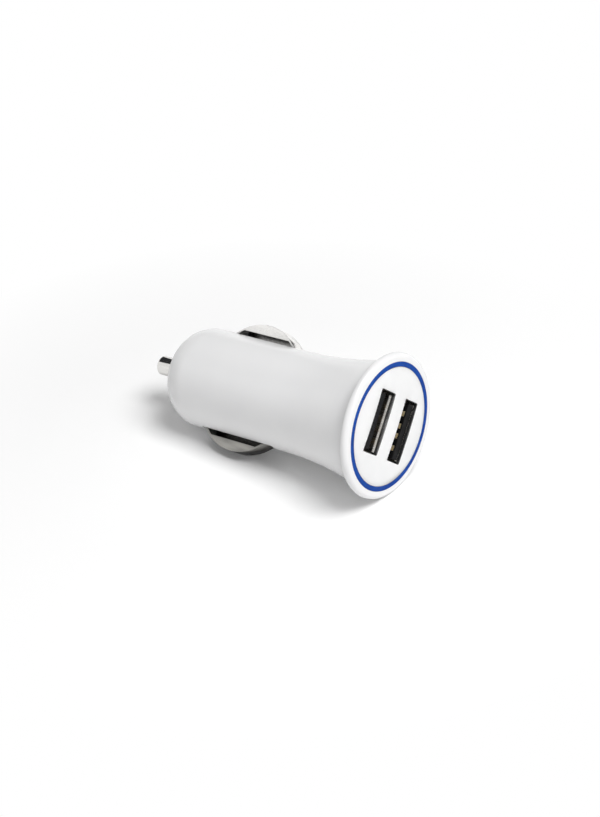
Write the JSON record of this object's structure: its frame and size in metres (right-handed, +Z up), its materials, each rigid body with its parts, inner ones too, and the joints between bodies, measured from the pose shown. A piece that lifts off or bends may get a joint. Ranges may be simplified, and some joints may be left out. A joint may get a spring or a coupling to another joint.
{
  "type": "car usb charger plug",
  "caption": "Twin-socket USB car charger plug: flared white body, blue light ring, sprung side contacts and a sprung tip pin, lying at rest.",
  "frame": {"origin": "middle of the plug's box on the surface that it lies on, with the rim and the nose both touching it", "axes": "+X along the plug towards the face with the two sockets, tilted up by about 5.7 degrees as the plug lies; +Z up"},
  "size_m": [0.0585, 0.029, 0.0289],
  "materials": {
    "white_shell": "gloss",
    "white_plate": "gloss",
    "blue_guide": "gloss",
    "nickel": "satin",
    "spring_steel": "satin",
    "socket_steel": "satin",
    "black_tongue": "matt",
    "gold_blade": "satin",
    "green_board": "satin",
    "ferrite": "matt",
    "copper_wire": "gloss",
    "can_sleeve": "gloss",
    "black_epoxy": "matt",
    "tinned": "satin",
    "lamp_white": "gloss",
    "tan_ceramic": "matt"
  },
  "bodies": {
    "plug": {"housing": "white_shell", "face_plate": "white_plate", "light_ring": "blue_guide", "tip_spring": "spring_steel", "spring_seat": "tinned", "main_board": "green_board", "near_socket_shell": "socket_steel", "near_socket_tongue": "black_tongue", "near_socket_blades": "gold_blade", "far_socket_shell": "socket_steel", "far_socket_tongue": "black_tongue", "far_socket_blades": "gold_blade", "inductor_core": "ferrite", "inductor_winding": "copper_wire", "input_capacitor": "can_sleeve", "output_capacitor": "can_sleeve", "converter_chip": "black_epoxy", "chip_leads": "tinned", "rectifier": "black_epoxy", "rectifier_tabs": "tinned", "ring_lamps": "lamp_white", "chip_resistors": "black_epoxy", "chip_capacitors": "tan_ceramic"},
    "tip": {"tip_pin": "nickel"},
    "upper_contact": {"upper_side_contact": "nickel"},
    "lower_contact": {"lower_side_contact": "nickel"}
  },
  "joints": [
    {"name": "tip_push", "type": "slide", "parent": "plug", "child": "tip", "axis": [0.9951, 0, 0.0988], "range_m": [0, 0.0022], "stiffness_N_per_m": 1500, "springref_m": -0.001, "deforming": ["tip_spring"]},
    {"name": "upper_contact_flex", "type": "hinge", "parent": "plug", "child": "upper_contact", "pos_m": [0.00473, 0.00504, 0.01834], "axis": [-0.063, -0.7697, 0.6353], "range_deg": [0, 12], "stiffness_Nm_per_rad": 0.35, "springref_deg": -0.09},
    {"name": "lower_contact_flex", "type": "hinge", "parent": "plug", "child": "lower_contact", "pos_m": [0.00593, -0.00504, 0.00624], "axis": [0.063, 0.7697, -0.6353], "range_deg": [0, 12], "stiffness_Nm_per_rad": 0.35, "springref_deg": -0.09}
  ]
}
